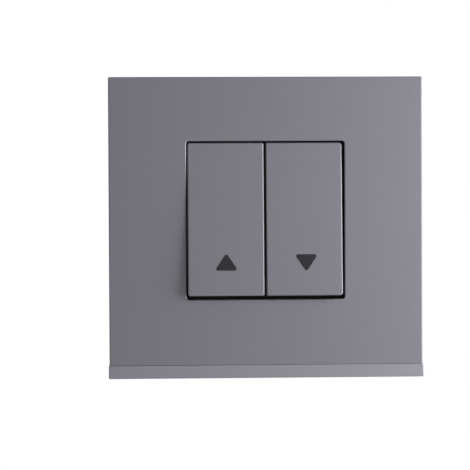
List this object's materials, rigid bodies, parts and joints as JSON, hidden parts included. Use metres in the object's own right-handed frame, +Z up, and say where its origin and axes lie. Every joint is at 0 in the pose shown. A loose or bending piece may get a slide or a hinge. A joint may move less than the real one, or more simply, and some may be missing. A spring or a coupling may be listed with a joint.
{
  "type": "roller shutter switch",
  "caption": "Flush-mounted roller shutter switch with a square cover plate, a lip along its lower edge and two tall sprung rocker keys, for up and down.",
  "frame": {"origin": "on the plane of the wall, at the middle of the wall box and of the window of the cover plate", "axes": "+X to the user's right, +Y into the wall, +Z up"},
  "size_m": [0.0904, 0.0353, 0.0865],
  "materials": {
    "titanium_paint": "satin titanium-grey metallic paint on moulded plastic",
    "zinc_steel": "zinc-plated sheet and fasteners",
    "black_plastic": "black moulded plastic, fine texture",
    "grey_plastic": "dark grey moulded plastic, fine texture",
    "white_plastic": "white acetal, smooth",
    "spring_steel": "bright drawn wire",
    "contact_strip": "tinned copper strip",
    "terminal_brass": "machined brass"
  },
  "bodies": {
    "root": {"cover_plate": "titanium_paint", "base_frame": "titanium_paint", "mounting_support": "zinc_steel", "box_screw_left": "zinc_steel", "box_screw_right": "zinc_steel", "mechanism_cover": "black_plastic", "mechanism_housing": "grey_plastic", "return_spring_up": "spring_steel", "return_spring_down": "spring_steel", "line_contact": "contact_strip", "interlock_link": "contact_strip", "output_contact_up": "contact_strip", "output_contact_down": "contact_strip", "terminal_block_line": "terminal_brass", "terminal_block_up": "terminal_brass", "terminal_block_down": "terminal_brass", "terminal_screw_line": "zinc_steel", "terminal_screw_up": "zinc_steel", "terminal_screw_down": "zinc_steel"},
    "up_key": {"key_up": "titanium_paint", "rocker_up": "white_plastic", "plunger_up": "black_plastic", "plunger_spring_up": "spring_steel"},
    "down_key": {"key_down": "titanium_paint", "rocker_down": "white_plastic", "plunger_down": "black_plastic", "plunger_spring_down": "spring_steel"},
    "up_lever": {"contact_lever_up": "contact_strip"},
    "down_lever": {"contact_lever_down": "contact_strip"}
  },
  "joints": [
    {"name": "key_up_press", "type": "hinge", "parent": "root", "child": "up_key", "pos_m": [-0.01125, -0.0045, 0], "axis": [1, 0, 0], "range_deg": [0, 6.5], "stiffness_Nm_per_rad": 0.4, "springref_deg": -5.73, "deforming": ["return_spring_up"]},
    {"name": "key_down_press", "type": "hinge", "parent": "root", "child": "down_key", "pos_m": [0.01125, -0.0045, 0], "axis": [1, 0, 0], "range_deg": [0, 6.5], "stiffness_Nm_per_rad": 0.4, "springref_deg": -5.73, "deforming": ["return_spring_down"]},
    {"name": "contact_lever_up_tilt", "type": "hinge", "parent": "root", "child": "up_lever", "pos_m": [-0.01125, 0.00883, 0], "axis": [1, 0, 0], "range_deg": [-12, 0]},
    {"name": "contact_lever_down_tilt", "type": "hinge", "parent": "root", "child": "down_lever", "pos_m": [0.01125, 0.00883, 0], "axis": [1, 0, 0], "range_deg": [-12, 0]}
  ],
  "couplings": [
    {"joint": "contact_lever_up_tilt", "follows": "key_up_press", "ratio": -1.846},
    {"joint": "contact_lever_down_tilt", "follows": "key_down_press", "ratio": -1.846}
  ]
}
